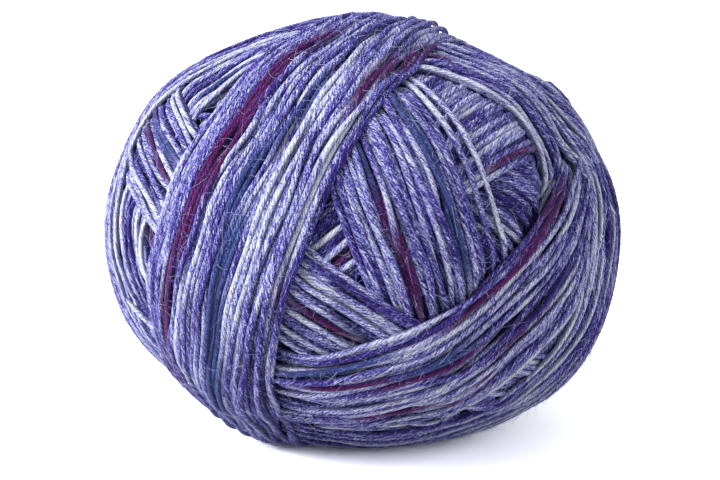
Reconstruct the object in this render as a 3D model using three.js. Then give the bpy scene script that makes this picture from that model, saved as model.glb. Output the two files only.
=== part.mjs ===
// A ball of sock yarn, wound by hand: one soft solid about 96 mm wide.
//
// The yarn is one unbroken length, so the ball is one solid. Its surface is a slightly
// flattened, uneven ball (soft swellings where it has settled), with the last bands of
// turns standing proud as broad raised straps that cross each other. It rests on a small
// flat spot. Units are millimetres, +Z is up, -Y is the front, and the origin is the
// middle of the flat spot.
import * as THREE from 'three';
import { mergeVertices } from 'three/addons/utils/BufferGeometryUtils.js';

// Half sizes of the ball at its mean surface, and the height of its centre.
const HALF_WIDTH = 45.6;
const HALF_DEPTH = 42.9;
const HALF_HEIGHT = 39.9;
const CENTRE_HEIGHT = 39.3;

const FACETS_PER_EDGE = 21; // subdivisions of each icosahedron edge
const EDGE_ROUNDING = 2.4; // how far in from its edge a band reaches its full height
const LAYER_HEIGHT = 1.1; // what one layer of yarn adds
const SMOOTHING = 0.7; // share of the relief below that a band evens out as it crosses
const SOFTENING_ANGLE = 3.4; // degrees over which the yarn softens an edge
const LEVELLING_ANGLE = 40; // degrees over which the ball is pressed level

// Soft swellings and hollows of the whole ball.
// azimuth 0 is the front and 90 the right; elevation 90 is the top; all three in degrees.
const SWELLINGS = [
  { azimuth: 90, elevation: -35, spread: 23, rise: 3.4 }, // low on the right
  { azimuth: 90, elevation: 20, spread: 16, rise: 1.5 }, // right side
  { azimuth: 95, elevation: 60, spread: 22, rise: -1.2 }, // upper right slope
  { azimuth: -90, elevation: 36, spread: 13, rise: 1.8 }, // upper left shoulder
  { azimuth: -90, elevation: -10, spread: 22, rise: 1.8 }, // left side
  { azimuth: -95, elevation: -62, spread: 16, rise: 1.0 }, // low on the left
  { azimuth: 180, elevation: -40, spread: 30, rise: 1.5 }, // low at the back
];

// Bands of turns, in the order they were wound. Each band fans from one plane to another;
// a plane is given by the direction of its normal (azimuth, elevation, in degrees) and its
// distance from the ball's centre (offset, in millimetres).
const BANDS = [
  { name: 'right hollow', from: [-15, -50, -3], to: [-52, -37, 3], layers: 1 },
  { name: 'low right', from: [46, 70, 6], to: [5, 48, 2], layers: 1 },
  { name: 'rising', from: [62, -35, -4], to: [66, -51, 7], layers: 2 },
  { name: 'middle', from: [-92, -20, -4], to: [-59, -10, 2], layers: 2 },
  { name: 'rim', from: [-5, -2, 18], to: [-3, 4, -8], layers: 2 },
  { name: 'falling', from: [86, 52, -1], to: [50, 58, 1], layers: 2 },
  { name: 'lower', from: [-38, 59, 8], to: [-19, 36, 8.5], layers: 2 },
  { name: 'right rim', from: [-12, -4, 12], to: [-18, -8, 3], layers: 1 },
  { name: 'left strap', from: [50, -7, -11], to: [67, -16, 4], layers: 3 },
];

const radians = THREE.MathUtils.degToRad;

/** Unit vector towards an azimuth and an elevation. */
function direction(azimuth, elevation) {
  const a = radians(azimuth);
  const e = radians(elevation);
  return new THREE.Vector3(Math.cos(e) * Math.sin(a), -Math.cos(e) * Math.cos(a), Math.sin(e));
}

/** Distance from the centre to the mean surface: an ellipsoid plus the soft swellings. */
function meanRadius(d) {
  let r = 1 / Math.hypot(d.x / HALF_WIDTH, d.y / HALF_DEPTH, d.z / HALF_HEIGHT);
  for (const s of SWELLINGS) {
    const away = d.angleTo(direction(s.azimuth, s.elevation)) / radians(s.spread);
    r += s.rise * Math.exp(-0.5 * away * away);
  }
  return r;
}

/** How far inside a band a point lies, in millimetres from its nearer edge (0 outside). */
function depthInBand(point, band) {
  const [a, b] = [band.from, band.to].map(
    ([azimuth, elevation, offset]) => point.dot(direction(azimuth, elevation)) - offset,
  );
  return a * b < 0 ? Math.min(Math.abs(a), Math.abs(b)) : 0;
}

/** Height of the crossed bands over the mean surface, each smoothing what it crosses. */
function bandRelief(d) {
  const point = d.clone().multiplyScalar(meanRadius(d));
  let height = 0;
  for (const band of BANDS) {
    const cover = THREE.MathUtils.smoothstep(depthInBand(point, band), 0, EDGE_ROUNDING);
    height = height * (1 - SMOOTHING * cover) + band.layers * LAYER_HEIGHT * cover;
  }
  return height;
}

/** Mean of the heights around each direction, weighted by a bell of the given angle. */
function spreadOut(directions, heights, angle) {
  const sharpness = 1 / (1 - Math.cos(radians(angle)));
  return directions.map((d) => {
    let sum = 0;
    let weight = 0;
    directions.forEach((other, j) => {
      const w = Math.exp((d.dot(other) - 1) * sharpness);
      sum += w * heights[j];
      weight += w;
    });
    return sum / weight;
  });
}

/** The wound ball: an even net of triangles set out to the surface, flattened at the foot. */
function woundBall() {
  const net = new THREE.IcosahedronGeometry(1, FACETS_PER_EDGE);
  net.deleteAttribute('normal');
  net.deleteAttribute('uv');
  const ball = mergeVertices(net, 1e-5);
  const place = ball.getAttribute('position');
  const directions = Array.from({ length: place.count }, (_, i) =>
    new THREE.Vector3().fromBufferAttribute(place, i).normalize(),
  );
  const relief = spreadOut(directions, directions.map(bandRelief), SOFTENING_ANGLE);
  const level = spreadOut(directions, relief, LEVELLING_ANGLE);
  directions.forEach((d, i) => {
    const p = d.clone().multiplyScalar(meanRadius(d) + relief[i] - level[i]);
    place.setXYZ(i, p.x, p.y, Math.max(p.z + CENTRE_HEIGHT, 0));
  });
  ball.computeVertexNormals();
  return ball;
}

const woolViolet = new THREE.MeshStandardMaterial({ color: 0x6f66b8, roughness: 0.95, metalness: 0 });

const ball = new THREE.Mesh(woundBall(), woolViolet);
ball.name = 'yarn_ball';

const object = new THREE.Group();
object.add(ball);
export default object;
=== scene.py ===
# %% [markdown]
# # A ball of sock yarn, wound turn by turn
#
# The object is one length of thin plied wool, wound by hand into a ball. A modeller could
# draw stripes on a sphere, but on a wound ball each turn lies on the turns before it, bands
# cross and stand proud, and hollows show older layers. So this script winds the ball. It
# lays some hundreds of turns one after the other on a height map, keeps the stretches that
# still show, and makes each of them a tube of yarn. Dyes, plies and loose fibres follow.

# %% The frame and the tools of this lesson
import time

import bpy
import numpy as np
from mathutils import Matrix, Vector


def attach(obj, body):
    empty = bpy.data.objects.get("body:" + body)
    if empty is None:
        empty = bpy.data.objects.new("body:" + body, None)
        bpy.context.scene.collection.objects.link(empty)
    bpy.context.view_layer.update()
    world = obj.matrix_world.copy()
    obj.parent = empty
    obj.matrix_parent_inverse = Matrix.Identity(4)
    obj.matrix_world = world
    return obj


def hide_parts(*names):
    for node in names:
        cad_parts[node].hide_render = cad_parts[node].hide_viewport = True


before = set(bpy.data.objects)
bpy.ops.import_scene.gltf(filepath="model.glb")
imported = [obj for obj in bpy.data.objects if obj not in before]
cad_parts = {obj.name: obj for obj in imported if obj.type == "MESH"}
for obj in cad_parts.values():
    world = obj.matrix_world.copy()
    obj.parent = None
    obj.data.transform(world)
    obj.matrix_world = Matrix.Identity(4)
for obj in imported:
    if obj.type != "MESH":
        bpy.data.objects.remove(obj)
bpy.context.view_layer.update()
started = time.perf_counter()

# %% [markdown]
# ## Sizes
#
# The yarn is worked out in millimetres from the ball's centre, and is moved up and turned to
# metres only when a mesh is made. Lamps and the camera are placed from the floor, also in
# millimetres. Sock yarn is a little over a millimetre thick where it lies in a ball. A
# direction is an azimuth, 0 at the front and 90 on the right, and an elevation, 90 at the
# top, both in degrees.

# %% Sizes
MM = 0.001
BODY = "root"
NODE = "yarn_ball"
CENTRE_HEIGHT = 39.3  # of the ball's centre, over the floor
MEAN_RADIUS = 43.0  # of the ball, which turns a length on it into an angle
YARN_RADIUS = 0.56


def unit(v):
    """Each vector over its own length."""
    return v / np.linalg.norm(v, axis=-1, keepdims=True)


def direction(azimuth, elevation):
    """Unit vector: (cos e sin a, -cos e cos a, sin e)."""
    a, e = np.broadcast_arrays(np.radians(azimuth), np.radians(elevation))
    return np.stack([np.cos(e) * np.sin(a), -np.cos(e) * np.cos(a), np.sin(e)], -1)


# %% [markdown]
# ## The ball's own shape
#
# The winding may not change the ball's size, so the shape that it has to end with is read
# off the frame: the distance from the centre as a smooth function of direction. A smooth
# function on a sphere can be written as a sum of products of x, y and z. Products of total
# power 11 and 12 together hold every broad swelling down to about 15 degrees, and a least
# squares fit gives their shares. The same fit later tells broad form from fine relief.

# %% Smooth functions on a sphere
POWER = 12
SLICE = 60000  # directions worked out at once, to save memory
TERMS = [
    (a, b, power - a - b)
    for power in (POWER - 1, POWER)
    for a in range(power + 1)
    for b in range(power + 1 - a)
]


def products(directions):
    """The value of each term, x^a y^b z^c, in each direction."""
    powers = [np.ones_like(directions)]
    for _ in range(POWER):
        powers.append(powers[-1] * directions)
    return np.stack(
        [powers[a][..., 0] * powers[b][..., 1] * powers[c][..., 2] for a, b, c in TERMS], -1
    )


def fit(directions, values):
    """The share of each term that follows the values best, by least squares."""
    return np.linalg.lstsq(products(directions), values, rcond=1e-9)[0]


def smooth(directions, shares):
    """The sum of the terms, each times its share, worked out a slice at a time."""
    flat = directions.reshape(-1, 3)
    slices = np.array_split(flat, len(flat) // SLICE + 1)
    sums = np.concatenate([products(s) @ shares for s in slices])
    return sums.reshape(directions.shape[:-1])


def read_ball(node):
    """Shares of the smooth function that gives a CAD node's distance from the ball's centre."""
    mesh = node.data
    places = np.empty(len(mesh.vertices) * 3, np.float32)
    mesh.vertices.foreach_get("co", places)
    places = places.reshape(-1, 3) / MM - (0, 0, CENTRE_HEIGHT)
    return fit(unit(places), np.linalg.norm(places, axis=1))


ball_shares = read_ball(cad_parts[NODE])
print("radius at the right, back and top:", smooth(np.eye(3), ball_shares).round(1))

# %% [markdown]
# ## A height map round the ball
#
# To know what a new turn lies on, the script keeps the height of the yarn in every
# direction. A map by latitude and longitude would crowd at its poles, so the sphere is
# unfolded as an octahedron instead: eight triangles that fill one square evenly. A cell is
# about a fifth of a millimetre across, finer than the yarn.

# %% The height map
MAP_SIDE = 840


def fold(x, y, below):
    """Folds the lower half out over the square's corners, or back in: x becomes
    (1 - |y|) sign x, and y becomes (1 - |x|) sign y."""
    folded_x = np.where(below, (1 - np.abs(y)) * np.where(x < 0, -1, 1), x)
    folded_y = np.where(below, (1 - np.abs(x)) * np.where(y < 0, -1, 1), y)
    return folded_x, folded_y


def cell(points):
    """The map cell that each point lies over."""
    q = points / np.abs(points).sum(-1, keepdims=True)
    square = np.stack(fold(q[..., 0], q[..., 1], q[..., 2] < 0))
    i, j = np.clip(((square + 1) / 2 * MAP_SIDE).astype(int), 0, MAP_SIDE - 1)
    return i * MAP_SIDE + j


def cell_directions():
    """The direction of each cell's middle, the inverse of cell()."""
    g = (np.arange(MAP_SIDE) + 0.5) / MAP_SIDE * 2 - 1
    u, v = np.meshgrid(g, g, indexing="ij")
    z = 1 - np.abs(u) - np.abs(v)
    return unit(np.stack([*fold(u, v, z < 0), z], -1).reshape(-1, 3))


def looks_round(values, steps):
    """The map's values at some steps from each cell, and at the same steps the other way."""
    return [values[cell(cells + step)] for step in (*steps, *-steps)]


cells = cell_directions()
cell_size = np.sqrt(4 * np.pi * MEAN_RADIUS**2 / len(cells))
print("cells:", len(cells), "each about", cell_size.round(2), "mm across")

# %% [markdown]
# ## The bands of turns
#
# A hand winds a few dozen turns one way, then turns the ball and winds on. Each such band
# fans from one plane to another. A plane is given by the azimuth and elevation of its normal
# and by its distance from the ball's centre. The first bands, which hardly show, are drawn
# at random. The last thirteen are placed, in the order in which they were wound: what comes
# later lies on top. Most are wound alike, and a row says only where its band differs.

# %% The bands
USUAL = dict(
    passes=1,  # times that the hand goes across the fan
    span=1.6,  # how far the yarn, under tension, may lie over a hollow
    pitch=0.45,  # least distance between strands, where the fan is narrowest
    hold=0.5,  # the part of the fan that stays in place if that widens it: 0 is its first turn
    pale=0.0,  # added to the whiteness of its yarn
)
PLACED = (
    dict(name="back_low", first=(160, 15, 12), last=(140, 25, 22), turns=16),
    dict(name="back_high", first=(215, 30, 10), last=(225, 40, 24), turns=16),
    # painted shade: this band lies in a shaded hollow, so its pale below zero makes its yarn darker
    dict(name="right_hollow", first=(-15, -50, -3), last=(-52, -37, 3), turns=25, pale=-0.08),
    dict(name="low_right", first=(46, 70, 6), last=(5, 48, 2), turns=18),
    # painted shade: this band lies low and shaded, so its pale below zero makes its yarn darker
    dict(name="rising", first=(62, -35, -4), last=(66, -51, 7), turns=46, passes=2, pale=-0.05),
    dict(name="middle", first=(-92, -20, -4), last=(-59, -10, 2), turns=58, passes=2),
    dict(name="lone_strands", first=(-55, -10, 0.5), last=(-50, -8.5, 1.5), turns=2),
    dict(name="rim", first=(-2, 11, 22.5), last=(-5, 8, -8), turns=72, passes=2, span=2.2, pale=0.08),
    dict(name="falling", first=(86, 52, -1), last=(50, 58, 1), turns=34),
    dict(name="lower", first=(-32, 55, 11), last=(-20, 34, 3), turns=58, passes=2, hold=0, pitch=0.1),
    dict(name="right_rim", first=(-5, 11, 15), last=(-8, 8, -2), turns=30, span=2.2, pale=0.05),
    dict(name="left_strap", first=(54, -15, -15.5), last=(75, -17, -2.5), turns=60, passes=2)
    | dict(pitch=0.51, pale=0.03),
    dict(name="strap_edge", first=(75, -17, -5.5), last=(62, -16, 5.8), turns=8, pale=0.03),
)
BANDS = [USUAL | band for band in PLACED]
INNER_BANDS = 26
INNER_TURNS = 14
INNER_WIDTH = 24.0
INNER_WIDENING = (0.7, 1.2)  # each band's width over that
INNER_JITTER = 6.0  # degrees
INNER_OFFSET = 10.0  # of a band's middle from the ball's centre, at most
INNER_TWIST = 8.0  # degrees from a band's middle plane to its first one, at most
GOLDEN_ANGLE = 137.508


def inner_bands(rng):
    """Bands that fan evenly over all ways round the ball, jittered, in a shuffled order."""
    bands = []
    for k in range(INNER_BANDS):
        evenly = (k * GOLDEN_ANGLE) % 360, np.degrees(np.arcsin((k + 0.5) / INNER_BANDS))
        azimuth, elevation = evenly + rng.normal(0, INNER_JITTER, 2)
        half = INNER_WIDTH / 2 * rng.uniform(*INNER_WIDENING)
        offset = rng.uniform(-INNER_OFFSET, INNER_OFFSET)
        twist = rng.uniform(-INNER_TWIST, INNER_TWIST)
        first = (azimuth - twist, elevation, offset - half)
        last = (azimuth + twist, elevation, offset + half)
        bands.append(USUAL | dict(name="inner", first=first, last=last, turns=INNER_TURNS))
    return [bands[i] for i in rng.permutation(INNER_BANDS)]


print("bands:", INNER_BANDS, "inside and", len(BANDS), "placed")

# %% [markdown]
# ## Winding
#
# A turn starts as a plane loop on the height map. Then three things happen to it that
# happen to real yarn. It slides a little to the side where the ground is lower. It is pulled
# taut, so that it spans a hollow instead of following it. And it stays there: its own top is
# written into the map, for the next turns to lie on.
#
# In a plane, a taut line outside a set of obstacles is their convex outline. With the
# loop's radius as a function of the angle, one over the radius of a straight line is a
# cosine, so a point sags below the line through its two neighbours where its own value is
# over their mean divided by the cosine. Lowering it to that, for far and near neighbours in
# turn, pulls the loop taut in a few dozen array steps. That is much quicker than a cloth or
# rope simulation, and it gives the same turns each time.

# %% Laying one band
LOOP = 360  # places along a turn
LOOP_ANGLES = np.arange(LOOP) / LOOP * 2 * np.pi
FIRST_RADIUS = 40.0  # where the search for the ground starts
LOOKUPS = 3
SINK = 0.45  # of the yarn's radius is how high its middle lies over its bed
REACHES = (50, 34, 22, 15, 10, 7, 5, 3, 2, 1)  # places to a neighbour, far to near
SLIDES = np.array((0, -0.4, 0.4, -0.8, 0.8, -1.2, 1.2))  # sideways
SLIDE_COST = 0.22  # of height, for each unit of slide
SLIDE_EASE = 27  # places over which a slide is spread
BEND_EASE = 15  # places over which the yarn's stiffness rounds a bend
CONTACT = 0.2  # half width of the yarn's bed
PRINT = np.linspace(-0.45, 0.45, 7)  # across the top that a turn leaves on the map
UPSAMPLE = 4  # points of the print from one place to the next
FURTHEST_BACK = unit(np.array((0.0, 1.0, -0.6)))  # and low, where a turn's ends don't show
WIDTH_EASE = 5.0  # over which a fan's width eases into its least one
WANDER = 0.35  # how far a hand strays from an even spacing
WANDER_SHARES = np.array((1, 1, 0.8, 0.6, 0.5, 0.4, 0.3))  # of the waves that make it up
WANDER_SUM = 1.9  # that these waves seldom pass together
WANDER_PACES = (0.25, 2.6)  # waves in a turn


def bell(places):
    """Weights of a raised cosine that add up to one."""
    weights = np.hanning(places)[1:-1]
    return weights / weights.sum()


def blur_round(values, weights):
    """Weighted mean of the neighbours on a closed loop."""
    half = len(weights) // 2
    return sum(w * np.roll(values, i - half) for i, w in enumerate(weights))


def taut(radius):
    """The loop pulled tight: one over the radius is lowered to that of the straight line
    through two neighbours, their mean over the cosine of the angle between."""
    w = 1 / radius
    for reach in REACHES * 2:
        chord = np.roll(w, reach) + np.roll(w, -reach)
        w = np.minimum(w, chord / (2 * np.cos(reach * 2 * np.pi / LOOP)))
    return 1 / w


def highest(heights, points, sideways):
    """The highest ground under the yarn: at a point and at a little to each side."""
    spots = [points + o * sideways for o in (-CONTACT, 0, CONTACT)]
    return np.max([heights[cell(s)] for s in spots], axis=0)


def lay_turn(heights, normal, offset, spoke, span):
    """Places of one turn: offset along the normal plus a radius along the spoke. The radius
    is that of the ground, then slid, raised by the yarn, pulled taut and smoothed."""
    radius = np.full(LOOP, FIRST_RADIUS)
    for _ in range(LOOKUPS):
        ground = heights[cell(offset[:, None] * normal + radius[:, None] * spoke)]
        radius = np.sqrt(np.maximum(ground**2 - offset**2, 1))
    place = offset[:, None] * normal + radius[:, None] * spoke
    grounds = [highest(heights, place + s * normal, normal) for s in SLIDES]
    costs = [ground + SLIDE_COST * abs(s) for ground, s in zip(grounds, SLIDES)]
    offset = offset + blur_round(SLIDES[np.argmin(costs, axis=0)], bell(SLIDE_EASE))
    place = offset[:, None] * normal + radius[:, None] * spoke
    ground = highest(heights, place, normal)
    bed = np.sqrt(np.maximum(ground**2 - offset**2, 1)) + SINK * YARN_RADIUS
    gap = taut(bed) - bed
    radius = blur_round(bed + span * (1 - np.exp(-gap / span)), bell(BEND_EASE))
    return offset[:, None] * normal + radius[:, None] * spoke


def print_turn(heights, middle, normal):
    """Writes the turn's round top into the map: the height of its middle plus a circle."""
    at = np.arange(LOOP * UPSAMPLE) / UPSAMPLE
    low = at.astype(int)
    part = (at - low)[:, None]
    fine = middle[low] * (1 - part) + middle[(low + 1) % LOOP] * part
    height = np.linalg.norm(fine, axis=1)
    for across in PRINT:
        under = cell(fine + across * normal[low])
        top = height + np.sqrt(YARN_RADIUS**2 - across**2)
        heights[under] = np.maximum(heights[under], top)


def spokes(normal):
    """Unit vectors round a turn, from the one that points furthest back."""
    spoke_a = unit(FURTHEST_BACK - (normal @ FURTHEST_BACK)[..., None] * normal)
    spoke_b = np.cross(normal, spoke_a)
    return np.cos(LOOP_ANGLES)[:, None] * spoke_a + np.sin(LOOP_ANGLES)[:, None] * spoke_b


def extra_width(band, first, last):
    """Two planes cross somewhere, and there a fan would be a heap. A hand spreads the turns,
    so the width is kept over a least one. Returns what is added to it at each angle: the
    eased width, least + ease * log(1 + exp((width - least) / ease)), less the width. The
    fan opens to the side that it has at the front."""
    normal = unit(first + last)
    offset = (band["first"][2] + band["last"][2]) / 2
    places = offset * normal + np.sqrt(MEAN_RADIUS**2 - offset**2) * spokes(normal)
    low = (band["first"][2] - places @ first) / (first @ normal)
    high = (band["last"][2] - places @ last) / (last @ normal)
    width = high - low
    sense = np.sign(width @ (1 - np.cos(LOOP_ANGLES)) ** 2)
    least = band["pitch"] * band["turns"] / band["passes"]
    over = (sense * width - least) / WIDTH_EASE
    return sense * (least + WIDTH_EASE * np.logaddexp(0, over)) - width


def wind(heights, band, rng):
    """Winds one band. Along it, the share goes from 0 to 1 and back with each pass, and the
    plane's normal and offset go from the first plane's to the last one's, plus a wander."""
    first, last = direction(*band["first"][:2]), direction(*band["last"][:2])
    pace = rng.uniform(*WANDER_PACES, len(WANDER_SHARES))
    phase = rng.uniform(0, 2 * np.pi, len(WANDER_SHARES))
    extra = extra_width(band, first, last)
    middles, normals = [], []
    for turn in range(band["turns"]):
        at = turn + LOOP_ANGLES / (2 * np.pi)
        share = at / band["turns"] * band["passes"]
        share = np.abs((share + 1) % 2 - 1)
        normal = unit((1 - share)[:, None] * first + share[:, None] * last)
        stray = (WANDER_SHARES * np.sin(2 * np.pi * at[:, None] * pace + phase)).sum(1)
        offset = (1 - share) * band["first"][2] + share * band["last"][2]
        offset = offset + WANDER / WANDER_SUM * stray
        offset = offset + (share - band["hold"]) * extra
        middle = lay_turn(heights, normal, offset, spokes(normal), band["span"])
        print_turn(heights, middle, normal)
        middles.append(middle)
        normals.append(normal)
    return np.stack(middles), np.stack(normals)


# %% [markdown]
# ## Winding the whole ball, and keeping it in shape
#
# Where many bands cross, yarn piles up. A person turns the ball to even that out. Here the
# wound ball's broad form is compared with the shape that it should have, and it is wound
# again on a core that is lower where there was too much. Three rounds are enough.

# %% The whole ball
SEED = 5
ROUNDS = 3
CORE_SIZE = 0.76  # of the ball
CORRECTION = 0.8  # of what is too high or too low, taken off the core
CORE_LIMITS = (20, 46)
GAP_REACH = 0.55  # over this, gaps between strands are closed in the map of tops
GAP_LOOKS = 8
FIT_EVERY = 37  # cells, which is enough for the broad form


def map_of_tops(heights):
    """The highest ground within a reach of each cell, looked up at seeded steps round it."""
    ways = unit(np.random.default_rng(1).normal(0, 1, (GAP_LOOKS // 2, 3)))
    return np.max([heights] + looks_round(heights, ways * GAP_REACH / MEAN_RADIUS), axis=0)


ball_radius = smooth(cells, ball_shares)
core = ball_radius * CORE_SIZE
for attempt in range(ROUNDS):
    rng = np.random.default_rng(SEED)
    heights = core.copy()
    wound = [(band, *wind(heights, band, rng)) for band in inner_bands(rng) + BANDS]
    tops = map_of_tops(heights)
    broad = smooth(cells, fit(cells[::FIT_EVERY], tops[::FIT_EVERY]))
    core = np.clip(core - CORRECTION * (broad - ball_radius), *CORE_LIMITS)
    off = (broad - ball_radius).std().round(2)
    relief = (tops - broad).std().round(2)
    print("round", attempt, "mean height", tops.mean().round(1), "form off", off, "relief", relief)

# %% [markdown]
# ## From the wound heights to the ball
#
# The relief of the wound bands is a little strong, because real yarn gives way where bands
# cross. So it is pressed: small heights stay as they are and large ones level off. Only the
# relief of whole bands may be pressed. If each strand were pressed by its own height, the
# layers would close up and lower strands would poke through upper ones. So the map is
# blurred first, and all that lies in one direction moves by the same amount. Where the ball
# rests, its lowest turns can't go below the floor, and the turns over those lie as much
# higher as they did before.

# %% Pressing the relief and the foot
PROUD = 0.5  # the most that a band stands over the ball's shape
PROUD_EASE = 2.4
SUNK = (0.6, 4.4)  # the most that it lies below, behind and at the front
SUNK_EASE = (2.4, 4.8)
FRONT_EDGE = (0.42, 0.72)  # of the way to the front, over which one changes into the other
BLUR_REACH = 0.5  # one step of the blur, in mm
BLUR_LOOKS = 14


def press(relief, directions):
    """Levels off: a limit times the hyperbolic tangent of the relief over its ease. At the
    front, where the last bands cross, hollows stay deeper."""
    front = np.clip((-directions[:, 1] - FRONT_EDGE[0]) / (FRONT_EDGE[1] - FRONT_EDGE[0]), 0, 1)
    limit = SUNK[0] + (SUNK[1] - SUNK[0]) * front
    ease = SUNK_EASE[0] + (SUNK_EASE[1] - SUNK_EASE[0]) * front
    proud = PROUD * np.tanh(relief / PROUD_EASE)
    return np.where(relief > 0, proud, limit * np.tanh(relief / ease))


def blur_map(values, seed):
    """The mean of the map at seeded steps to all sides of each cell."""
    reach = BLUR_REACH / MEAN_RADIUS
    steps = np.random.default_rng(seed).normal(0, reach, (BLUR_LOOKS // 2, 3))
    return np.mean(looks_round(values, steps), axis=0)


band_relief = tops - broad
for seed in range(2):
    band_relief = blur_map(band_relief, seed)
shift = ball_radius - broad + press(band_relief, cells) - band_relief
surface = tops + shift
print("band relief:", band_relief.std().round(2), "mm")
print("surface:", surface.min().round(1), "to", surface.max().round(1), "mm from the centre")


def set_on_ball(points):
    """Points moved along their own directions by the shift of the map there."""
    radius = np.linalg.norm(points, axis=-1, keepdims=True)
    return points * (1 + shift[cell(points)][..., None] / radius)


def stand_on_floor(points, over):
    """Points that are too low are raised: a strand's middle is its radius over the floor,
    and higher by what it lies below the surface."""
    depth = np.maximum(surface[cell(points)] - np.linalg.norm(points, axis=-1) - over, 0)
    lowest = over + depth - CENTRE_HEIGHT
    return np.concatenate([points[..., :2], np.maximum(points[..., 2:], lowest[..., None])], -1)


# %% [markdown]
# ## What shows
#
# Most of the yarn is covered by later turns. A place on a strand still shows if the map is
# no higher than the strand's top there or a little to one side. Only those stretches are
# made, a bit longer than they show, so that their ends are covered. All the yarn would take
# several times as many faces, and nobody would see them.

# %% Strands that show
SIDE_LOOKS = (-1.1, -0.6, 0, 0.6, 1.1)  # across the strand
LONG_LOOKS = (-1.0, 0, 1.0)  # along it
COVERED = 0.2  # a strand may lie this much too low and still show beside the upper one
OPEN_SLACK = 0.08
END_PLACES = 4  # made before and after a stretch that shows
JOIN_PLACES = 25
JOIN_WEIGHT = 1.6  # at a join, before it is cut off at 1
SMOOTH_PLACES = 9


def shows(middle, normal):
    """True where the map is at most a little over the strand's top at any look."""
    height = np.linalg.norm(middle, axis=-1)
    along = unit(np.cross(normal, middle))
    looks = [heights[cell(middle + s * normal + q * along)] for s in SIDE_LOOKS for q in LONG_LOOKS]
    return np.min(looks, axis=0) <= height + YARN_RADIUS + COVERED


def open_above(middle):
    """True where nothing lies over the strand's own top."""
    height = np.linalg.norm(middle, axis=-1)
    return heights[cell(middle)] <= height + YARN_RADIUS + OPEN_SLACK


def spread(flags, places):
    """True also up to some places before and after each true one."""
    return np.convolve(flags, np.ones(2 * places + 1), "same") > 0.5


def soft(share):
    """A share from 0 to 1 that starts and ends gently: 3 s^2 - 2 s^3."""
    return share * share * (3 - 2 * share)


def smooth_path(path, places):
    """Each place becomes the weighted mean of itself and its neighbours."""
    padded = np.pad(path, ((places // 2 - 1,) * 2, (0, 0)), mode="edge")
    return np.stack([np.convolve(column, bell(places), "valid") for column in padded.T], -1)


def ease_joins(path):
    """One turn ends a little off where the next starts, so there the path is replaced by
    the mean of its neighbours, with a weight that falls to nothing on both sides."""
    mean = smooth_path(path, JOIN_PLACES)
    away = np.abs((np.arange(len(path)) + LOOP // 2) % LOOP - LOOP // 2)
    weight = soft(np.clip(JOIN_WEIGHT - away / JOIN_PLACES * 2, 0, 1))[:, None]
    return path * (1 - weight) + mean * weight


strands = []
yarn_used = 0.0
for band, middles, normals in wound:
    keep = spread(shows(middles, normals).ravel(), END_PLACES)
    path = smooth_path(set_on_ball(middles.reshape(-1, 3)), SMOOTH_PLACES)
    path = stand_on_floor(ease_joins(path), YARN_RADIUS)
    step = np.linalg.norm(np.diff(path, axis=0, prepend=path[:1]), axis=1)
    along = yarn_used + np.cumsum(step)
    yarn_used = along[-1]
    strand = dict(name=band["name"], pale=band["pale"], path=path, along=along, keep=keep)
    strands.append(strand | dict(open=open_above(middles).ravel()))
turns = sum(band["turns"] for band, _, _ in wound)
shown = np.concatenate([s["keep"] for s in strands]).mean()
print("turns:", turns, "metres wound:", round(yarn_used * MM), "share shown:", shown.round(2))

# %% [markdown]
# ## The dyes
#
# The yarn is space dyed. Most of it is violet, lighter and deeper by turns, and broken by
# short undyed stretches. Now and then comes a longer run of burgundy or of steel blue. The
# whiteness of the violet is drawn as a smooth random curve along the yarn. The longer runs
# and the clearest light strands on the front are placed instead. A row gives the dye, how
# many strands lie side by side in it, and the directions that it passes from start to end.

# %% Dye colours
def linear(code):
    """Linear colour of an sRGB hex code: each channel over 12.92, or to the power 2.4."""
    s = np.array([int(code[i : i + 2], 16) for i in (1, 3, 5)]) / 255
    return np.where(s <= 0.04045, s / 12.92, ((s + 0.055) / 1.055) ** 2.4)


DYES = {"burgundy": linear("#500C50"), "blue": linear("#3A4B86")}

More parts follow.
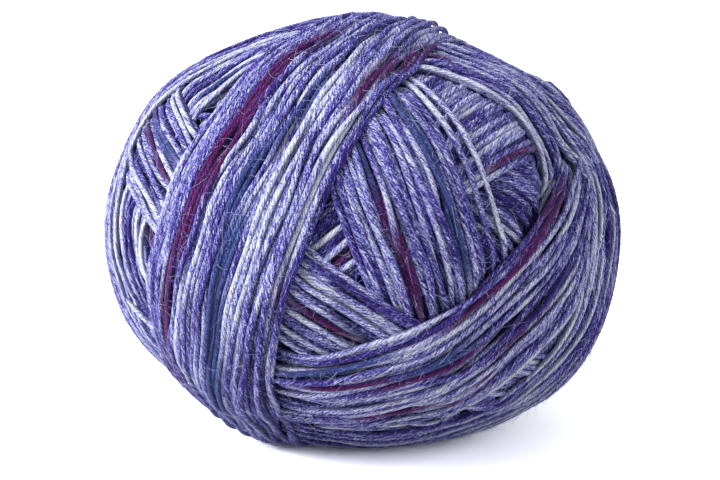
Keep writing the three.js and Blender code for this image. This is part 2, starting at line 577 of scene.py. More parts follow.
DYE_RUNS = {
    "left_strap": (
        ("burgundy", 3, [(-32, 72), (-36, 58), (-39, 31), (-45, 7), (-48, -6), (-59, -27), (-66, -39)]),
        ("burgundy", 1, [(-20, 72), (-30, 62), (-34, 43), (-39, 20)]),
        ("burgundy", 1, [(-18, 2), (-20, -4), (-22, -14), (-25, -22), (-26, -35)]),
        ("blue", 2, [(-12, 52), (-24, 33), (-34, 15)]),
        ("blue", 3, [(-29, 16), (-32, -1), (-38, -19), (-46, -40)]),
        ("undyed", 1, [(4, 54), (-7, 29), (-15, 9), (-20, -9), (-24, -21)]),
        ("undyed", 1, [(-23, 14), (-25, 2), (-28, -10), (-34, -23)]),
        ("undyed", 1, [(-16, 32), (-20, 20), (-23, 11)]),
        ("undyed", 1, [(-10, 43), (-14, 34), (-18, 27)]),
        ("undyed", 1, [(-32, -1), (-33, -11), (-36, -23)]),
        ("violet", 2, [(-5, 49), (-8, 37), (-13, 24)]),
        ("violet", 1, [(-11, 42), (-15, 29), (-17, 20)]),
    ),
    "strap_edge": (
        ("burgundy", 2, [(55, 62), (40, 64), (20, 61), (5, 55), (-3, 46)]),
    ),
    "middle": (
        ("burgundy", 2, [(-2, 38), (3, 25), (8, 12), (15, -7)]),
        ("blue", 2, [(9, 51), (18, 36), (20, 22), (25, 2)]),
        ("blue", 1, [(-4, 37), (3, 23)]),
    ),
    "lower": (
        ("undyed", 1, [(0, -16), (17, -7)]),
        ("burgundy", 2, [(19, -8), (40, 4), (48, 11), (58, 16)]),
        ("blue", 2, [(-22, -20), (9, -20), (27, -14)]),
        ("burgundy", 1, [(-15, -25), (5, -25), (19, -21), (32, -11)]),
        ("undyed", 1, [(27, -14), (42, -8)]),
        ("burgundy", 1, [(-6, -38), (23, -36), (32, -29), (37, -17), (48, -8)]),
    ),
    "falling": (
        ("undyed", 2, [(-16, 5), (-7, -1), (8, -11)]),
        ("blue", 1, [(-17, 1), (-5, -9), (2, -12)]),
        ("burgundy", 1, [(-17, -2), (-9, -7), (-1, -13)]),
        ("undyed", 1, [(-17, -5), (-5, -14)]),
        ("undyed", 1, [(31, -32), (39, -28), (47, -23)]),
        ("undyed", 1, [(36, -36), (47, -33)]),
        ("undyed", 1, [(38, -23), (48, -18)]),
        ("burgundy", 1, [(-78, 27), (-54, 21)]),
        ("blue", 2, [(-70, 30), (-56, 24)]),
        ("undyed", 2, [(-78, 39), (-52, 34)]),
        ("undyed", 1, [(-70, 21), (-51, 10)]),
    ),
    "lone_strands": (
        ("undyed", 1, [(31, 36), (37, 20), (38, 8)]),
    ),
    "rising": (
        ("burgundy", 2, [(-9, 4), (-1, 10)]),
        ("burgundy", 1, [(34, 27), (54, 29)]),
        ("undyed", 1, [(29, 35), (40, 35), (53, 35)]),
        ("undyed", 1, [(31, 42), (45, 42), (61, 43)]),
        ("undyed", 1, [(34, 31), (53, 33)]),
    ),
    "rim": (
        ("burgundy", 1, [(38, 62), (62, 62)]),
        ("burgundy", 1, [(-54, 11), (-57, 2), (-55, -4)]),
        ("blue", 2, [(-64, 39), (-63, 44), (-57, 54)]),
    ),
}
print("placed runs of dye:", sum(len(runs) for runs in DYE_RUNS.values()))

# %% [markdown]
# ### Dyeing the strands
#
# A random curve is made from seeded values at even knots along the yarn, joined by soft
# steps. A slow one and a quick one together give the whiteness. It isn't a colour yet: the
# material adds its own finer marks to it and looks the sum up on a scale of violets. A
# placed run looks for the turns of its band that lie open and nearest to its directions.
# Painting the ball from outside would be easier, but then a dye would cross from strand to
# strand, and on real yarn it stays on one.

# %% Dyeing the strands
DYE_SEED = 11
WHITE_KNOTS = (30.0, 8.0)  # between the knots of the slow and the quick curve
WHITE_SHARES = (0.6, 0.4)  # of these two
RUN_EVERY = 1900.0  # of yarn, between random runs
RUN_WANDER = 600.0
RUN_LENGTH = (70.0, 230.0)
FRONT = 12.0  # random runs stay behind this, because those in front are placed
OLDER_BANDS = ("inner", "back_low", "back_high", "right_hollow")  # but these may have them
WHITENESS = {"undyed": 0.8, "violet": 0.3}  # of runs that are placed without another dye
GOALS = 5  # from one direction of a run to the next
FADE_PLACES = 17  # along the yarn, over which a dye fades


def random_curve(along, spacing, seed):
    """Seeded values between 0 and 1 at even knots, joined by soft steps."""
    at = along / spacing
    knot = np.floor(at).astype(int)
    part = soft(at - knot)
    values = np.random.default_rng(seed).random(knot.max() + 2)
    return values[knot] * (1 - part) + values[knot + 1] * part


def dye_background(strand):
    """Whiteness by two random curves, then random runs of colour."""
    along = strand["along"]
    slow, quick = (random_curve(along, knots, DYE_SEED + k) for k, knots in enumerate(WHITE_KNOTS))
    strand["white"] = WHITE_SHARES[0] * slow + WHITE_SHARES[1] * quick + strand["pale"]
    strand["colour"] = np.zeros((len(along), 4))
    rng = np.random.default_rng(DYE_SEED + 4)
    starts = np.arange(RUN_EVERY / 2, yarn_used, RUN_EVERY)
    starts = starts + rng.uniform(-RUN_WANDER, RUN_WANDER, len(starts))
    lengths = rng.uniform(*RUN_LENGTH, len(starts))
    free = (strand["path"][:, 1] > FRONT) | (strand["name"] in OLDER_BANDS)
    for k, (start, length) in enumerate(zip(starts, lengths)):
        inside = (along > start) & (along < start + length) & free
        strand["colour"][inside] = (*DYES[("burgundy", "blue")[k % 2]], 1)


def soften(strand):
    """Dyes fade at the ends of a run: shares and colours are blurred along the yarn."""
    kernel = bell(FADE_PLACES)
    strand["white"] = np.convolve(strand["white"], kernel, "same")
    share = strand["colour"][:, 3:]
    layers = np.concatenate([strand["colour"][:, :3] * share, share], 1)
    layers = np.stack([np.convolve(layer, kernel, "same") for layer in layers.T], 1)
    layers[:, :3] /= np.maximum(layers[:, 3:], 1e-4)
    strand["colour"] = layers


def dye_piece(strand, goals, dye, count):
    """Dyes the stretches of the nearest open turns between the first goal and the last one.
    Returns how far they lie from the goals, in degrees."""
    ways = unit(strand["path"]).reshape(-1, LOOP, 3)
    seen = strand["open"].reshape(-1, LOOP)
    near = np.where(seen[..., None], ways @ goals.T, -1)
    miss = np.degrees(np.arccos(np.clip(near.max(1), -1, 1))).mean(1)
    best = np.argsort(miss, kind="stable")[:count]
    for turn in best:
        start, end = (ways[turn] @ goals[[0, -1]].T).argmax(0)
        step = (end - start + LOOP // 2) % LOOP - LOOP // 2
        places = (start + np.arange(-1, abs(step) + 2) * (1 if step > 0 else -1)) % LOOP
        places = turn * LOOP + places
        if dye in DYES:
            strand["colour"][places] = (*DYES[dye], 1)
        else:
            strand["white"][places] = WHITENESS[dye]
    return miss[best]


def dye_run(name, dye, count, by):
    """Dyes a run piece by piece, because a run may step from one turn to the next. Returns
    how far it lies from where it should, in degrees."""
    strand = next(s for s in strands if s["name"] == name)
    ends = direction(*np.array(by, float).T)
    misses = []
    for first, last in zip(ends[:-1], ends[1:]):
        share = np.linspace(0, 1, GOALS)[:, None]
        goals = unit((1 - share) * first + share * last)
        misses.append(dye_piece(strand, goals, dye, count))
    return np.mean(misses).round(1)


for strand in strands:
    dye_background(strand)
for name, runs in DYE_RUNS.items():
    print(name, "runs miss by", *[dye_run(name, *run) for run in runs], "degrees")
for strand in strands:
    soften(strand)

# %% [markdown]
# ## Making yarn of the strands
#
# A strand is a tube: a ring of points round each place on the path, with the next ring
# joined to it by four-sided faces, and a closed, narrower end. A curve with a bevel would do
# for a few strands. Here there are thousands of stretches, so the rings of a whole band are
# worked out at once and become one mesh. Seven corners are enough, as most of them face up.
#
# A UV map carries the distance along the yarn and the way round it, because the twist of the
# plies follows the yarn and not the ball. The dyes are stored as one value a vertex.

# %% Tubes
CORNERS = np.array((0, 0.11, 0.23, 0.39, 0.61, 0.77, 0.89))  # of the section, denser on top
ROUND = np.append(CORNERS, 1.0)  # and back to where they began
SIDES = len(CORNERS)
FLATNESS = 0.8  # of the section's height to its width, because wound wool is pressed flat
EVERY = 3  # a ring at every third place
SHORTEST = 3  # rings
THICKNESS = (0.95, 0.24)  # of the radius: the least, and what a random curve adds to it
THICKNESS_KNOTS = 5.0
END_SCALE = 0.55  # the last ring is narrower
TIP = 0.35  # of the radius is how far the point lies past that


def new_object(name, data):
    """An object in the scene."""
    thing = bpy.data.objects.new(name, data)
    bpy.context.scene.collection.objects.link(thing)
    return thing


def new_piece(name, vertices, corners, sizes, material):
    """A mesh object from vertices round the ball's centre, the corners of all faces in a
    row, and each face's size."""
    mesh = bpy.data.meshes.new(name)
    mesh.vertices.add(len(vertices))
    places = (vertices + (0, 0, CENTRE_HEIGHT)) * MM
    mesh.vertices.foreach_set("co", places.astype(np.float32).ravel())
    mesh.loops.add(len(corners))
    mesh.loops.foreach_set("vertex_index", corners.astype(np.int32))
    mesh.polygons.add(len(sizes))
    starts = np.concatenate([[0], np.cumsum(sizes)[:-1]])
    mesh.polygons.foreach_set("loop_start", starts.astype(np.int32))
    mesh.update(calc_edges=True)
    mesh.validate()
    mesh.polygons.foreach_set("use_smooth", np.ones(len(sizes), bool))
    mesh.materials.append(material)
    piece = new_object(name, mesh)
    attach(piece, BODY)
    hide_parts(NODE)
    return piece


def ring_faces(starts, sides):
    """Corners of the four-sided faces from each ring to the one that follows it in the row
    of vertices. A ring is given by the number of its first vertex."""
    side = np.arange(sides)
    after = (side + 1) % sides
    here = np.ravel(starts)[:, None]
    ahead = here + sides
    return np.stack([here + side, here + after, ahead + after, ahead + side], -1).reshape(-1, 4)


def set_attribute(piece, name, kind, key, values):
    """Stores one value for each vertex."""
    layer = piece.data.attributes.new(name, kind, "POINT")
    layer.data.foreach_set(key, values.astype(np.float32).ravel())


def ring_points(path, round_way, radius, flatness=1.0):
    """Points round each place: its middle plus the radius times flattened cos(v) up plus
    sin(v) sideways, where up is away from the ball's centre and sideways is across. Also
    returns the way ahead."""
    ahead = unit(np.gradient(path, axis=-2))
    sideways = unit(np.cross(ahead, unit(path)))
    up = np.cross(sideways, ahead)
    v = (round_way * 2 * np.pi)[:, None]
    spoke = flatness * np.cos(v) * up[..., None, :] + np.sin(v) * sideways[..., None, :]
    return path[..., None, :] + radius[..., None, None] * spoke, ahead


def runs_of(flags, shortest):
    """First and last place of each run of true flags that is long enough."""
    edges = np.flatnonzero(np.diff(np.concatenate([[0], flags.astype(int), [0]])))
    runs = edges.reshape(-1, 2) - (0, 1)
    return runs[runs[:, 1] - runs[:, 0] + 1 >= shortest]


def shown_tubes(strand):
    """The rings of a strand's shown runs in a row, with what the yarn carries at each, the
    tips of the runs, and the number of the first and last ring of each run."""
    path, along, colour, white = (strand[k][::EVERY] for k in ("path", "along", "colour", "white"))
    least, more = THICKNESS
    radius = YARN_RADIUS * (least + more * random_curve(along, THICKNESS_KNOTS, 3))
    runs = runs_of(spread(strand["keep"], 1)[::EVERY], SHORTEST)
    ends = runs.ravel()
    radius[ends] *= END_SCALE
    points, ahead = ring_points(path, CORNERS, radius, FLATNESS)
    outward = np.tile([-1.0, 1.0], len(runs))[:, None] * ahead[ends]
    tips = path[ends] + TIP * YARN_RADIUS * outward
    used = np.zeros(len(path), bool)
    for first, last in runs:
        used[first : last + 1] = True
    numbers = (np.cumsum(used) - 1)[runs]
    return points[used], tips, numbers, along[used], colour[used], white[used]


def tube_sides(last_rings, along):
    """Corners and UVs of the four-sided faces between each ring and the next of its tube."""
    more = np.ones(len(along), bool)
    more[last_rings] = False
    ring = np.flatnonzero(more)
    u = along[ring[:, None, None] + (0, 0, 1, 1)]
    v = ROUND[np.arange(SIDES)[:, None] + (0, 1, 1, 0)]
    uv = np.stack(np.broadcast_arrays(u, v), -1)
    return ring_faces(ring * SIDES, SIDES), uv.reshape(-1, 2)


def tube_ends(end_rings, first_tip, along):
    """Corners and UVs of the triangles from each tip to its ring. A tube's first end faces
    the other way than its last one, so there the corners go round the other way."""
    side = np.arange(SIDES)[None, :]
    after = (side + 1) % SIDES
    tip = first_tip + np.arange(len(end_rings))[:, None] + 0 * side
    flip = (np.arange(len(end_rings)) % 2 == 0)[:, None]
    ring = end_rings[:, None] * SIDES
    one, two = ring + np.where(flip, after, side), ring + np.where(flip, side, after)
    u = np.broadcast_to(along[end_rings][:, None, None], (*tip.shape, 3))
    v = ROUND[np.stack([side + 0 * flip, side + flip, side + ~flip], -1)]
    return np.stack([tip, one, two], -1).reshape(-1, 3), np.stack([u, v], -1).reshape(-1, 2)


def make_strands(name, parts, material):
    """One mesh of closed tubes, for every run of kept places in the strands given."""
    tubes = [shown_tubes(part) for part in parts]
    starts = np.cumsum([0] + [len(t[0]) for t in tubes])
    ends = np.concatenate([t[2] + start for t, start in zip(tubes, starts)])
    joined = (np.concatenate([t[k] for t in tubes]) for k in (0, 1, 3, 4, 5))
    rings, tips, along, colour, white = joined
    quads, quad_uv = tube_sides(ends[:, 1], along)
    caps, cap_uv = tube_ends(ends.ravel(), len(rings) * SIDES, along)

    vertices = np.concatenate([rings.reshape(-1, 3), tips])
    corners = np.concatenate([quads.ravel(), caps.ravel()])
    sizes = np.repeat((4, 3), (len(quads), len(caps)))
    piece = new_piece(name, vertices, corners, sizes, material)
    layer = piece.data.uv_layers.new(name="yarn")
    uv = np.concatenate([quad_uv, cap_uv])
    layer.data.foreach_set("uv", uv.astype(np.float32).ravel())
    owner = np.concatenate([np.repeat(np.arange(len(rings)), SIDES), ends.ravel()])
    set_attribute(piece, "dye", "FLOAT_COLOR", "color", colour[owner])
    set_attribute(piece, "white", "FLOAT", "value", white[owner])
    print(name, "tubes:", len(ends), "triangles:", len(quads) * 2 + len(caps))


print("a tube has", SIDES, "sides and a ring at each", EVERY, "places of its path")

# %% [markdown]
# ## Helpers for materials
#
# A material here is a small program of nodes. Written out, each node takes several lines, so
# one helper adds any node with its settings and links, and others name a sum, a step or a
# blend of colours.

# %% Helpers for materials
def plug(tree, value, socket):
    """Links a socket to an input, or sets the input to a plain value."""
    if isinstance(value, bpy.types.NodeSocket):
        tree.links.new(value, socket)
    else:
        socket.default_value = value


def add(tree, kind, settings=None, inputs=None, **values):
    """Adds a node. Settings are its properties. Inputs, by key or by name, are given a
    socket to link or a plain value."""
    node = tree.nodes.new(kind)
    for key, value in (settings or {}).items():
        setattr(node, key, value)
    for key, value in (inputs or {}).items():
        plug(tree, value, node.inputs[key])
    for key, value in values.items():
        plug(tree, value, node.inputs[key.replace("_", " ")])
    return node


def maths(tree, operation, a, b=0.0, c=0.0, clamp=False):
    """A Math node, whose inputs are sockets or numbers."""
    settings = dict(operation=operation, use_clamp=clamp)
    return add(tree, "ShaderNodeMath", settings, {0: a, 1: b, 2: c}).outputs[0]


def scaled(tree, value, gain, level=0.0, clamp=False):
    """value * gain + level."""
    return maths(tree, "MULTIPLY_ADD", value, gain, level, clamp)


def centred(tree, noise, gain):
    """Noise, which runs from 0 to 1, made as much below zero as above it."""
    return scaled(tree, noise, gain, -gain / 2)


def total(tree, *values):
    """The sum of some sockets."""
    result = values[0]
    for value in values[1:]:
        result = maths(tree, "ADD", result, value)
    return result


def soft_step(tree, value, low, high, to_low, to_high):
    """A soft step from one level, at low, to another, at high."""
    node = add(
        tree, "ShaderNodeMapRange", dict(interpolation_type="SMOOTHSTEP"),
        Value=value, From_Min=low, From_Max=high, To_Min=to_low, To_Max=to_high,
    )
    return node.outputs["Result"]


def ramp(tree, factor, stops):
    """A colour ramp through sRGB stops."""
    node = add(tree, "ShaderNodeValToRGB", Fac=factor)
    elements = node.color_ramp.elements
    while len(elements) < len(stops):
        elements.new(0.5)
    for element, (position, code) in zip(elements, stops):
        element.position = position
        element.color = (*linear(code), 1)
    return node.outputs["Color"]


def combine(tree, x, y, z):
    """A vector from three sockets or numbers."""
    return add(tree, "ShaderNodeCombineXYZ", inputs={0: x, 1: y, 2: z}).outputs[0]


def mixed(tree, blend, factor, a, b):
    """A colour mix of a and b."""
    settings = dict(data_type="RGBA", blend_type=blend)
    return add(tree, "ShaderNodeMix", settings, {0: factor, 6: a, 7: b}).outputs[2]


def carried(tree, name):
    """What the mesh carries under a name: a socket for each way to read it."""
    return add(tree, "ShaderNodeAttribute", dict(attribute_name=name)).outputs


def with_nodes(thing, output, surface):
    """Gives a material or a world the shader that a function makes in its node tree."""
    thing.use_nodes = True
    tree = thing.node_tree
    tree.nodes.clear()
    add(tree, output, Surface=surface(tree))
    return thing


def new_material(name, surface):
    """A material with the shader that a function makes."""
    return with_nodes(bpy.data.materials.new(name), "ShaderNodeOutputMaterial", surface)


print("a mid grey is", linear("#808080").round(3), "in linear light")


# %% [markdown]
# ## The yarn's material
#
# Worsted-spun wool, space dyed: single threads are twisted together, and the dye takes
# unevenly on them. So the eye sees short slanted marks, light beside violet, each with a dark
# groove, and now and then a light or deep streak that stays on one side of the strand. The
# dark grooves and the deep violet down the yarn's flanks are painted shade, and the lighter
# round back of each ply is a painted highlight. Wool is matt, with hardly a highlight, but its
# fibres catch a soft sheen at grazing angles. An image texture would need painting. Noise on
# the yarn's own coordinates gives the same marks at any length, and the plies follow from a
# formula for a helix.

# %% Patterns on the yarn
PLIES = 6  # slanted marks round the yarn
PLY_SPACING = 1.05  # from one to the next, along the yarn
PLY_ROUNDNESS = 0.6  # 0.5 is a half circle
FIBRE_TURN = 11.0  # of yarn, while a fibre goes once round it
PATCHES = dict(across=0.5, length=3.2, detail=1.0)  # of dye, on a ply
STREAKS = dict(across=0.42, length=7.0, detail=1.0, shift=80.0)  # light or deep
FIBRES = dict(across=0.2, length=1.3, detail=2.0, distortion=0.6)
FUZZ = dict(across=0.12, length=0.35, detail=2.0, distortion=0.6, shift=40.0)


def yarn_noise(tree, turn, along, across, length, detail, distortion=0.0, shift=0.0):
    """Noise on the surface of the yarn. A place round it and along it is made a point on a
    cylinder, so that the pattern has no seam. Across and length are the pattern's size in
    mm."""
    angle = maths(tree, "MULTIPLY", turn, 2 * np.pi)
    radius = YARN_RADIUS / across
    place = combine(
        tree,
        scaled(tree, maths(tree, "COSINE", angle), radius),
        scaled(tree, maths(tree, "SINE", angle), radius),
        scaled(tree, along, 1 / length, shift),
    )
    inputs = dict(Scale=1.0, Detail=detail, Distortion=distortion)
    return add(tree, "ShaderNodeTexNoise", Vector=place, **inputs).outputs["Fac"]


def ply_pattern(tree, u, v):
    """w is the way round times the plies plus the distance along over their spacing. Its
    whole part names a ply, and its fraction, as x from -1 to 1, is the place across it.
    Returns w over the plies, to draw on a ply, and its round back, (1 - x^2)^roundness."""
    w = total(tree, scaled(tree, v, PLIES), scaled(tree, u, 1 / PLY_SPACING))
    across = scaled(tree, maths(tree, "FRACT", w), 2, -1)
    square = maths(tree, "MULTIPLY", across, across)
    back = maths(tree, "POWER", maths(tree, "SUBTRACT", 1.0, square), PLY_ROUNDNESS)
    return scaled(tree, w, 1 / PLIES), back


print("a ply goes round the yarn in", round(PLIES * PLY_SPACING, 1), "mm")

# %% [markdown]
# ### Colour and shade of the yarn
#
# The whiteness that a strand carries, the patches, the streaks and the fibres add up to a
# tone, and a scale of violets turns the tone into a colour, from deep violet where the dye
# took fully to nearly white where it missed. The round back of each ply adds a little to the
# tone as a painted highlight. A run of another dye covers that. Last, the colour is blended
# towards a deep violet in the grooves between plies and down the yarn's flanks: painted shade.
# Real fibres are thinner than the marks drawn here, but thinner ones wouldn't show.

# %% Colour and shade of the yarn
# painted shade: the deep violet that the colour is blended towards in the grooves between plies and
# down the yarn's flanks
PAINTED_SHADE = "#2C166C"  # deep violet, in the groove between two plies and down the yarn's flank
SHEEN = "#CFCFFF"  # pale, where fibres catch light at a grazing angle
FLANK = (0.12, 0.21)  # of the way round, from the top, over which the yarn goes into shade
FLANK_SHADE_LEVEL = 0.35
WOOL_RELIEF = 0.2  # a unit of height on plies and fibres
FIBRE_HEIGHT = 0.8
PLY_HEIGHT = 0.8
FIBRE_GRAIN = 1.5  # how much the fibres and the fuzz show in the tone
FUZZ_GRAIN = 3.0
FLANK_GRAIN = 0.3  # and the fibres in the edge of the flank's shade
RUN_GRAIN = 2.4  # and both of them in the other dyes
RUN_LEAST = 0.25  # of such a dye's own light
RUN_THIN = (-0.25, 1.1)  # how it covers the violet: by the grain, and at none
BACK_LIGHT = (0.5, 0.6)  # of a ply: what its round back adds, and what the grooves have
WHITE_GAIN = 1.35  # of each part of the tone
PATCH_GAIN = 0.9
STREAK_GAIN = 1.1
# painted highlight: how much a ply's round back lightens the tone
BACK_HIGHLIGHT_GAIN = 0.16
TONE_LEVEL = -1.32
VIOLETS = (
    (0.04, "#281460"),
    (0.24, "#43309F"),
    (0.42, "#675AC6"),
    (0.58, "#9292E4"),
    (0.75, "#C2CDF8"),
    (0.97, "#F4F7FF"),
)


def dyed_colour(tree, patches, streaks, grain, back):
    """The violet of the tone, under the dye that the strand carries: a little lighter and
    darker with the grain, lighter on the round back of each ply as a painted highlight, and a
    little thinner on the lightest fibres."""
    streaks = scaled(tree, streaks, STREAK_GAIN)
    marks = scaled(tree, total(tree, scaled(tree, patches, PATCH_GAIN), streaks), 1, TONE_LEVEL)
    white = scaled(tree, carried(tree, "white")["Fac"], WHITE_GAIN)
    # the ply's round back lightens the tone: a painted highlight
    parts = white, grain, scaled(tree, back, BACK_HIGHLIGHT_GAIN)
    violet = ramp(tree, total(tree, marks, *parts), VIOLETS)
    dye = carried(tree, "dye")
    level = maths(tree, "MAXIMUM", scaled(tree, grain, RUN_GRAIN, 1.0), RUN_LEAST)
    run = mixed(tree, "MULTIPLY", 1.0, dye["Color"], combine(tree, level, level, level))
    thin = scaled(tree, grain, *RUN_THIN, clamp=True)
    return mixed(tree, "MIX", maths(tree, "MULTIPLY", dye["Alpha"], thin), violet, run)


def light_share(tree, v, fibres, back):
    """1 on the back of a ply on top of the yarn, less in the grooves and down the flanks.
    How far a place is from the top is |fraction(v + 1/2) - 1/2|, roughened by the fibres."""
    away = scaled(tree, maths(tree, "FRACT", scaled(tree, v, 1, 0.5)), 1, -0.5)
    away = total(tree, maths(tree, "ABSOLUTE", away), centred(tree, fibres, FLANK_GRAIN))
    # painted shade down the flanks: the light share falls to a set level there
    flank = soft_step(tree, away, *FLANK, 1.0, FLANK_SHADE_LEVEL)
    return maths(tree, "MULTIPLY", scaled(tree, back, *BACK_LIGHT), flank, clamp=True)


def plied_wool(tree):
    """Matt wool: the yarn's patterns give its colour, its shade and its relief."""
    uv = add(tree, "ShaderNodeUVMap", dict(uv_map="yarn")).outputs["UV"]
    split = add(tree, "ShaderNodeSeparateXYZ", Vector=uv)
    u, v = split.outputs["X"], split.outputs["Y"]
    on_ply, back = ply_pattern(tree, u, v)
    on_fibre = scaled(tree, u, 1 / FIBRE_TURN, v)
    patches = yarn_noise(tree, on_ply, u, **PATCHES)
    streaks = yarn_noise(tree, on_fibre, u, **STREAKS)
    fibres = yarn_noise(tree, on_fibre, u, **FIBRES)
    fuzz = yarn_noise(tree, on_ply, u, **FUZZ)
    grain = total(tree, centred(tree, fibres, FIBRE_GRAIN), centred(tree, fuzz, FUZZ_GRAIN))
    coloured = dyed_colour(tree, patches, streaks, grain, back)
    lit = light_share(tree, v, fibres, back)
    # painted shade: where the light share is low, in grooves and on flanks, the colour is blended
    # towards deep violet
    shaded = mixed(tree, "MIX", lit, (*linear(PAINTED_SHADE), 1), coloured)
    relief = total(tree, scaled(tree, fibres, FIBRE_HEIGHT), scaled(tree, back, PLY_HEIGHT), fuzz)
    bump = add(tree, "ShaderNodeBump", Height=relief, Strength=1.0, Distance=WOOL_RELIEF * MM)
    wool = add(
        tree, "ShaderNodeBsdfPrincipled", Base_Color=shaded, Normal=bump.outputs["Normal"],
        Roughness=0.85, Specular_IOR_Level=0.1, Sheen_Weight=0.25, Sheen_Roughness=0.45,
        Sheen_Tint=(*linear(SHEEN), 1),
    )
    return wool.outputs[0]


yarn_material = new_material("space-dyed plied wool", plied_wool)
print("yarn material nodes:", len(yarn_material.node_tree.nodes))

# %% [markdown]
# ## Making the strands
#
# Each band becomes one piece, so that it can be hidden or looked at alone. The older turns
# at the bottom of the ball are two pieces, because together they are a large mesh.

# %% Making the strands
older = [strand for strand in strands if strand["name"] == "inner"]
make_strands("turns_inner_low", older[: len(older) // 2], yarn_material)
make_strands("turns_inner_high", older[len(older) // 2 :], yarn_material)
for strand in strands[len(older) :]:
    make_strands("turns_" + strand["name"], [strand], yarn_material)

# %% [markdown]
# ## Loose fibres
#
# Spun wool isn't smooth: fibre ends stick out of it. Some lie over the strands, and others
# stand up and give the ball's edge a soft down. Real fibres are a fortieth of a millimetre
# thick, too fine to show, so here there are fewer and they are drawn thicker. Hair
# particles would need a hair system on thousands of tubes. So each fibre is a bent, pointed
# rod with three sides, and all of one kind are one mesh.

# %% Loose fibres
FIBRE_RADIUS = 0.036
FIBRE_RINGS = 5
FIBRE_SIDES = 3
FIBRE_POINT = 0.45  # of its radius is what is left at its end
FIBRE_TONES = (0.35, 0.85)  # places on the scale of violets
FIBRE_ROOT = 0.75  # of the yarn's radius is how far from its middle a fibre leaves it
LYING = dict(count=6000, length=(1.5, 5.0), lift=(3, 12), bend=0.9, seed=31)
STANDING = dict(count=6400, length=(0.6, 2.2), lift=(15, 60), bend=0.9, seed=32)
TONE_SEED = 50


def fibre_paths(count, length, lift, bend, seed):
    """Places along each fibre: the root, plus the distance along times the way it leaves
    the yarn, plus half the distance squared over its length times the way it bends. Lift
    is the angle, in degrees, at which it leaves."""
    rng = np.random.default_rng(seed)
    seen = [s["open"] & s["keep"] for s in strands]
    roots = np.concatenate([s["path"][k] for s, k in zip(strands, seen)])
    ahead = np.concatenate([np.gradient(s["path"], axis=0)[k] for s, k in zip(strands, seen)])
    pick = rng.choice(len(roots), count, replace=False)
    up, ahead = unit(roots[pick]), unit(ahead[pick])
    turn = rng.uniform(0, 2 * np.pi, (count, 1))
    flat = np.cos(turn) * ahead + np.sin(turn) * np.cross(up, ahead)
    slope = np.radians(rng.uniform(*lift, (count, 1)))
    leave = np.cos(slope) * flat + np.sin(slope) * up
    curl = unit(rng.normal(0, 1, (count, 3))) * bend - np.sin(slope) * up * bend
    reach = rng.uniform(*length, (count, 1, 1)) * np.linspace(0, 1, FIBRE_RINGS)[:, None]
    path = (roots[pick] + FIBRE_ROOT * YARN_RADIUS * up)[:, None] + reach * leave[:, None]
    path = path + reach**2 / reach[:, -1:] * curl[:, None] * 0.5
    path[..., 2] = np.maximum(path[..., 2], FIBRE_RADIUS - CENTRE_HEIGHT)
    return path


def loose_fibres(name, material, **how):
    """One mesh of closed rods, thinner towards the end: three points round each place,
    four-sided faces from ring to ring, and a flat face at each end."""
    count = how["count"]
    radius = FIBRE_RADIUS * np.linspace(1, FIBRE_POINT, FIBRE_RINGS)
    points, _ = ring_points(fibre_paths(**how), np.arange(FIBRE_SIDES) / FIBRE_SIDES, radius)
    rings = np.arange(count * FIBRE_RINGS).reshape(count, FIBRE_RINGS) * FIBRE_SIDES
    quads = ring_faces(rings[:, :-1], FIBRE_SIDES)
    start = rings[:, :1] + np.arange(FIBRE_SIDES)[::-1]
    end = rings[:, -1:] + np.arange(FIBRE_SIDES)
    corners = np.concatenate([quads.ravel(), start.ravel(), end.ravel()])
    sizes = np.repeat((4, 3), (len(quads), 2 * count))
    piece = new_piece(name, points.reshape(-1, 3), corners, sizes, material)
    tone = np.random.default_rng(how["seed"] + TONE_SEED).uniform(*FIBRE_TONES, count)
    set_attribute(piece, "white", "FLOAT", "value", np.repeat(tone, FIBRE_RINGS * FIBRE_SIDES))
    print(name, "fibres:", count, "triangles:", len(quads) * 2 + 2 * count)


def fibre_wool(tree):
    """Wool fibres, pale violet and matt, lighter or deeper from fibre to fibre."""
    colour = ramp(tree, carried(tree, "white")["Fac"], VIOLETS)
    inputs = dict(Base_Color=colour, Roughness=0.8, Specular_IOR_Level=0.1)
    return add(tree, "ShaderNodeBsdfPrincipled", **inputs).outputs[0]


fibre_material = new_material("loose wool fibres", fibre_wool)
loose_fibres("lying_fibres", fibre_material, **LYING)
loose_fibres("standing_fibres", fibre_material, **STANDING)

# %% [markdown]
# ## The inside
#
# Between the shown strands one may look past them, into older turns. To make those as well
# would take many more faces, so a closed body under the strands stops the eye. Its surface
# is the lowest height near each direction, less about a strand, and its colour is a dark
# violet: painted shade, for the inside of a ball, where little light gets in.

# %% The inside
INSIDE_ROWS = 96  # from pole to pole
INSIDE_DEPTH = 1.5  # under the lowest surface nearby
INSIDE_REACH = 2.5  # how far that is looked for
INSIDE_LOOKS = 24
INSIDE_FOOT = 1.5  # over the floor
# painted shade: the inside's violets are kept dark, as little light gets in there
SHADED_VIOLETS = ((0.35, "#1E1544"), (0.7, "#4B3F93"))


def inside_points():
    """Points on a grid over azimuth and elevation, with a single one at each pole: the way
    there times the lowest surface nearby, less a depth."""
    elevation = np.linspace(-90, 90, INSIDE_ROWS + 1)[1:-1, None]
    azimuth = np.arange(2 * INSIDE_ROWS)[None, :] / (2 * INSIDE_ROWS) * 360
    grid = direction(azimuth, elevation).reshape(-1, 3)
    ways = np.concatenate([[(0, 0, -1.0)], grid, [(0, 0, 1.0)]])
    reach = INSIDE_REACH / MEAN_RADIUS
    steps = np.random.default_rng(2).normal(0, reach, (INSIDE_LOOKS, 3))
    lowest = np.min([surface[cell(unit(ways + step))] for step in steps], axis=0)
    points = ways * (lowest - INSIDE_DEPTH)[:, None]
    points[:, 2] = np.maximum(points[:, 2], INSIDE_FOOT - CENTRE_HEIGHT)
    return points


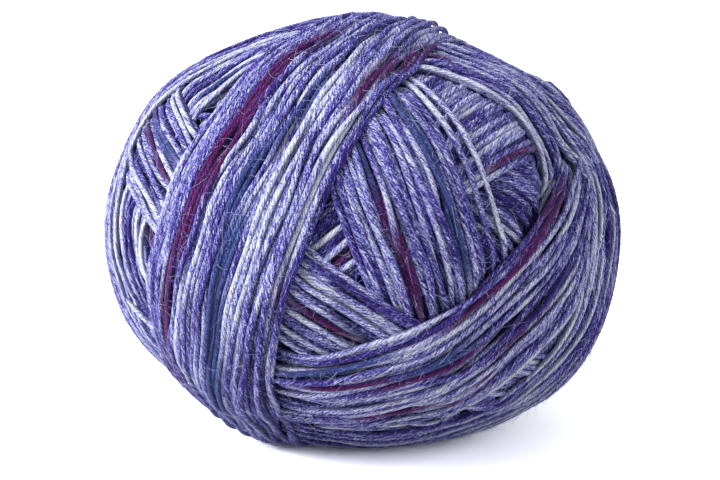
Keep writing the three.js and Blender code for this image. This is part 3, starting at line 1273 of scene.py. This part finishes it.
def inside_faces():
    """Four-sided faces from row to row, and triangles round each pole."""
    columns = 2 * INSIDE_ROWS
    column = np.arange(columns)
    after = (column + 1) % columns
    quads = ring_faces(np.arange(INSIDE_ROWS - 2) * columns + 1, columns)
    top = 1 + (INSIDE_ROWS - 2) * columns
    pole = top + columns
    bottom_cap = np.stack([0 * column, 1 + after, 1 + column], -1)
    top_cap = np.stack([0 * column + pole, top + column, top + after], -1)
    corners = np.concatenate([quads.ravel(), bottom_cap.ravel(), top_cap.ravel()])
    return corners, np.repeat((4, 3), (len(quads), 2 * columns))


def inner_wool(tree):
    """Wool in deep shade: dark violet, mottled at the size of the yarn, without a shine."""
    place = add(tree, "ShaderNodeTexCoord").outputs["Object"]
    scale = 1 / (2 * YARN_RADIUS * MM)
    mottle = add(tree, "ShaderNodeTexNoise", Vector=place, Scale=scale, Detail=3.0).outputs["Fac"]
    bump = add(tree, "ShaderNodeBump", Height=mottle, Strength=0.6, Distance=0.4 * MM)
    inputs = dict(Base_Color=ramp(tree, mottle, SHADED_VIOLETS), Normal=bump.outputs["Normal"])
    return add(tree, "ShaderNodeBsdfPrincipled", Roughness=0.95, **inputs).outputs[0]


inside_corners, inside_sizes = inside_faces()
inner_material = new_material("shaded inner wool", inner_wool)
new_piece("inner_windings", inside_points(), inside_corners, inside_sizes, inner_material)
print("inside triangles:", (inside_sizes - 2).sum())

# %% [markdown]
# ## The floor, the light and the camera
#
# A ball for sale is shown on a sheet of white paper, in soft light from the upper left. The
# sheet is white where nothing shades it, and the ball's shadow stays on it. Such a sheet
# would throw much light back at the ball, more than the real one does, so it has two sides
# to it: grey for the ball, and with more gain for the camera. A large lamp gives the soft
# edge of the shadow, a weaker one lights the right side, and the sky fills in the rest.

# %% Floor, light and camera
CAMERA_DISTANCE = 373.0
CAMERA_ELEVATION = 14.0
CAMERA_LENS = 100.0
AIM_BELOW = 1.8  # the ball's centre
AIM_LEFT = 0.2
PAPER_SIDE = 3000.0
PAPER = 0.6  # what the sheet throws back at the ball
PAPER_GAIN = 2.7  # what the camera sees of it, times the light that falls on it
SKY_LIGHT = (0.95, 0.97, 1.0, 1)
SKY_STRENGTH = 0.45
LAMPS = (
    dict(name="key", place=(-600, -210, 420), size=350, power=7.9),
    dict(name="fill", place=(500, -300, 300), size=400, power=1.15),
)


def seen_directly(tree):
    """1 for a ray from the camera, straight or by way of something shiny or clear."""
    path = add(tree, "ShaderNodeLightPath")
    sees = maths(tree, "MAXIMUM", path.outputs["Is Camera Ray"], path.outputs["Is Glossy Ray"])
    return maths(tree, "MAXIMUM", sees, path.outputs["Is Transmission Ray"])


def two_sides(tree, kind, plain, direct):
    """One shader for the light that things get, and another for what is seen directly."""
    inputs = {0: seen_directly(tree)}
    for key, settings in ((1, plain), (2, direct)):
        inputs[key] = add(tree, kind, **settings).outputs[0]
    return add(tree, "ShaderNodeMixShader", inputs=inputs).outputs[0]


def white_paper(tree):
    """Matt white paper."""
    plain, direct = dict(Color=(*[PAPER] * 3, 1)), dict(Color=(*[PAPER_GAIN] * 3, 1))
    return two_sides(tree, "ShaderNodeBsdfDiffuse", plain, direct)


def even_sky(tree):
    """A sky that is the same all round. Where it is seen directly it is white."""
    plain = dict(Color=SKY_LIGHT, Strength=SKY_STRENGTH)
    direct = dict(Color=(1, 1, 1, 1), Strength=1.0)
    return two_sides(tree, "ShaderNodeBackground", plain, direct)


def white_floor():
    """A flat sheet of paper, as wide as any view needs."""
    side = PAPER_SIDE / 2 * MM
    corners = [(-side, -side, 0), (side, -side, 0), (side, side, 0), (-side, side, 0)]
    mesh = bpy.data.meshes.new("floor")
    mesh.from_pydata(corners, [], [(0, 1, 2, 3)])
    mesh.materials.append(new_material("white paper", white_paper))
    floor = new_object("floor", mesh)


def aim(thing, place, target):
    """Puts a lamp or camera at a place and turns its -Z axis to the target, +Y up."""
    thing.location = Vector(place) * MM
    way = (Vector(target) - Vector(place)).normalized()
    thing.rotation_euler = way.to_track_quat("-Z", "Y").to_euler()


def lamp(name, place, size, power):
    """A square area lamp that points at the ball's centre."""
    light = bpy.data.lights.new(name, "AREA")
    light.size = size * MM
    light.energy = power
    aim(new_object(name, light), place, (0, 0, CENTRE_HEIGHT))


def camera():
    """The camera looks down on the ball's front, and aims a little below its centre."""
    data = bpy.data.cameras.new("camera")
    data.lens = CAMERA_LENS
    data.clip_start = 0.01
    thing = new_object("camera", data)
    centre = np.array((0, 0, CENTRE_HEIGHT))
    place = centre + CAMERA_DISTANCE * direction(0, CAMERA_ELEVATION)
    up = direction(180, 90 - CAMERA_ELEVATION)
    target = centre - AIM_BELOW * up - AIM_LEFT * np.array((1, 0, 0))
    aim(thing, place, target)
    bpy.context.scene.camera = thing


white_floor()
sky = bpy.data.worlds.new("sky")
bpy.context.scene.world = with_nodes(sky, "ShaderNodeOutputWorld", even_sky)
for settings in LAMPS:
    lamp(**settings)
camera()
bpy.context.scene.view_settings.view_transform = "Standard"
print("lamps:", {settings["name"]: settings["power"] for settings in LAMPS})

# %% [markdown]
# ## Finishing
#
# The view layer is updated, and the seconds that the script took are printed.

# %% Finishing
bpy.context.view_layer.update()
print("seconds:", round(time.perf_counter() - started, 1))
